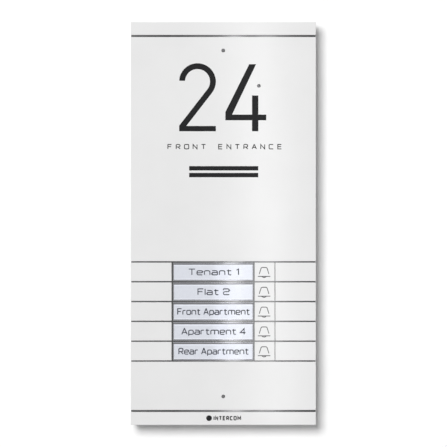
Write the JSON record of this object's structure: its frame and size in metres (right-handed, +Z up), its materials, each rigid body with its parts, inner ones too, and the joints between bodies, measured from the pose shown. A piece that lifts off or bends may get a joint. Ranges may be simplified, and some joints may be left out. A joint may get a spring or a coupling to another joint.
{
  "type": "door intercom panel",
  "caption": "Wall-mounted door intercom panel: slatted white face over a steel carrier, name plates behind clear windows and a sprung bell key beside each.",
  "frame": {"origin": "centre of the back face, where it meets the wall", "axes": "+Z up, +Y into the wall, so the front faces -Y; +X is to the right seen from the front"},
  "size_m": [0.16, 0.018, 0.348],
  "materials": {
    "powder_white": "fine white powder coat, satin",
    "powder_grey": "light grey powder coat, matte",
    "brushed_steel": "brushed stainless steel",
    "screw_steel": "turned stainless steel",
    "clear_acrylic": "clear polished acrylic",
    "name_card": "cool white printed card",
    "silicone": "translucent silicone",
    "black_rubber": "black rubber, matte",
    "circuit_board": "green circuit board",
    "guide_acrylic": "clear moulded light guide",
    "terminal_plastic": "green moulded plastic",
    "ribbon_plastic": "grey ribbon",
    "black_plastic": "black moulded plastic",
    "cone_paper": "black coated paper",
    "magnet_steel": "zinc plated",
    "capsule_aluminium": "drawn aluminium"
  },
  "bodies": {
    "panel": {"back_housing": "powder_grey", "wall_gasket": "black_rubber", "front_seal": "black_rubber", "cable_grommet": "black_rubber", "carrier_plate": "brushed_steel", "top_strip": "powder_white", "main_plate": "powder_white", "lower_plate": "powder_white", "bottom_strip": "powder_white", "left_blank_1": "powder_white", "name_bezel_1": "brushed_steel", "name_card_1": "name_card", "name_window_1": "clear_acrylic", "key_dome_1": "silicone", "right_blank_1": "powder_white", "left_blank_2": "powder_white", "name_bezel_2": "brushed_steel", "name_card_2": "name_card", "name_window_2": "clear_acrylic", "key_dome_2": "silicone", "right_blank_2": "powder_white", "left_blank_3": "powder_white", "name_bezel_3": "brushed_steel", "name_card_3": "name_card", "name_window_3": "clear_acrylic", "key_dome_3": "silicone", "right_blank_3": "powder_white", "left_blank_4": "powder_white", "name_bezel_4": "brushed_steel", "name_card_4": "name_card", "name_window_4": "clear_acrylic", "key_dome_4": "silicone", "right_blank_4": "powder_white", "left_blank_5": "powder_white", "name_bezel_5": "brushed_steel", "name_card_5": "name_card", "name_window_5": "clear_acrylic", "key_dome_5": "silicone", "right_blank_5": "powder_white", "light_guide": "guide_acrylic", "key_board": "circuit_board", "main_board": "circuit_board", "ribbon_cable": "ribbon_plastic", "terminal_block": "terminal_plastic", "speaker_frame": "black_plastic", "speaker_cone": "cone_paper", "speaker_magnet": "magnet_steel", "microphone_screen": "screw_steel", "microphone_boot": "black_rubber", "microphone_capsule": "capsule_aluminium", "lock_screw_top": "screw_steel", "lock_screw_bottom": "screw_steel"},
    "key_1": {"bell_key_1": "powder_white"},
    "key_2": {"bell_key_2": "powder_white"},
    "key_3": {"bell_key_3": "powder_white"},
    "key_4": {"bell_key_4": "powder_white"},
    "key_5": {"bell_key_5": "powder_white"}
  },
  "joints": [
    {"name": "press_key_1", "type": "slide", "parent": "panel", "child": "key_1", "axis": [0, 1, 0], "range_m": [0, 0.001], "stiffness_N_per_m": 1500, "deforming": ["key_dome_1"]},
    {"name": "press_key_2", "type": "slide", "parent": "panel", "child": "key_2", "axis": [0, 1, 0], "range_m": [0, 0.001], "stiffness_N_per_m": 1500, "deforming": ["key_dome_2"]},
    {"name": "press_key_3", "type": "slide", "parent": "panel", "child": "key_3", "axis": [0, 1, 0], "range_m": [0, 0.001], "stiffness_N_per_m": 1500, "deforming": ["key_dome_3"]},
    {"name": "press_key_4", "type": "slide", "parent": "panel", "child": "key_4", "axis": [0, 1, 0], "range_m": [0, 0.001], "stiffness_N_per_m": 1500, "deforming": ["key_dome_4"]},
    {"name": "press_key_5", "type": "slide", "parent": "panel", "child": "key_5", "axis": [0, 1, 0], "range_m": [0, 0.001], "stiffness_N_per_m": 1500, "deforming": ["key_dome_5"]}
  ]
}
